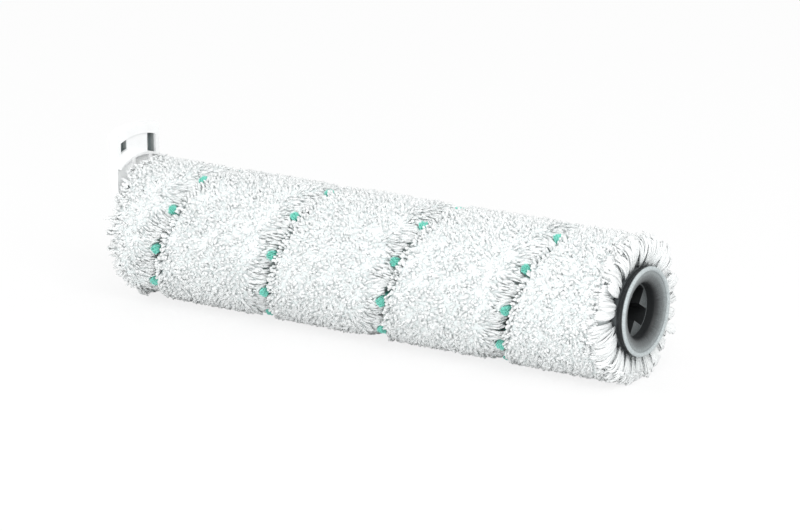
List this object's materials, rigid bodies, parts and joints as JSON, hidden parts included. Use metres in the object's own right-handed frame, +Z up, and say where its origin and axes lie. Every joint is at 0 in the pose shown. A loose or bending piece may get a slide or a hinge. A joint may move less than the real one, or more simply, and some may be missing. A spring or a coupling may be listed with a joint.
{
  "type": "vacuum brush roll",
  "caption": "Deep-pile microfibre brush roll with bristle tufts in its helical seam, a cross drive socket and a bearing-mounted end cap with a pull tab.",
  "frame": {"origin": "on the roll's axis, at the drive end of the core, where the socket's bell mouth meets its round bore", "axes": "+X along the roll's axis out of the drive socket, +Z up to the end cap's pull tab, +Y to the right seen from the drive end looking along -X with +Z up"},
  "size_m": [0.2723, 0.0619, 0.0753],
  "materials": {
    "core": "satin moulded plastic",
    "pile": "deep microfibre pile in short clumped strands",
    "bristle": "teal nylon bristle",
    "anchor_wire": "bright flat wire",
    "socket": "satin, fine moulded grain",
    "seal": "smooth black rubber",
    "housing": "satin moulded plastic",
    "spring_steel": "phosphated spring steel",
    "bearing_steel": "ground steel",
    "ball_steel": "polished steel",
    "cage": "moulded nylon",
    "axle_steel": "turned steel",
    "cap": "near-white satin moulded plastic"
  },
  "bodies": {
    "roll": {"core_tube": "core", "pile_strip": "pile", "bristle_tufts": "bristle", "tuft_anchors": "anchor_wire", "drive_socket": "socket", "tube_seal_rings": "seal", "bearing_housing": "housing", "bearing_circlip": "spring_steel", "bearing_outer_race": "bearing_steel", "bearing_shield_outer": "seal", "bearing_shield_inner": "seal", "dust_seal": "seal"},
    "cap": {"end_cap": "cap", "stub_axle": "axle_steel", "bearing_inner_race": "bearing_steel", "spacer_bush": "housing", "thrust_washer": "axle_steel", "axle_clip": "spring_steel"},
    "ball_set": {"bearing_cage": "cage", "bearing_balls": "ball_steel"}
  },
  "joints": [
    {"name": "cap_spin", "type": "hinge", "parent": "roll", "child": "cap", "pos_m": [-0.249, 0, 0], "axis": [1, 0, 0], "continuous": true},
    {"name": "ball_set_spin", "type": "hinge", "parent": "roll", "child": "ball_set", "pos_m": [-0.249, 0, 0], "axis": [1, 0, 0], "continuous": true}
  ],
  "couplings": [
    {"joint": "ball_set_spin", "follows": "cap_spin", "ratio": 0.3677}
  ]
}
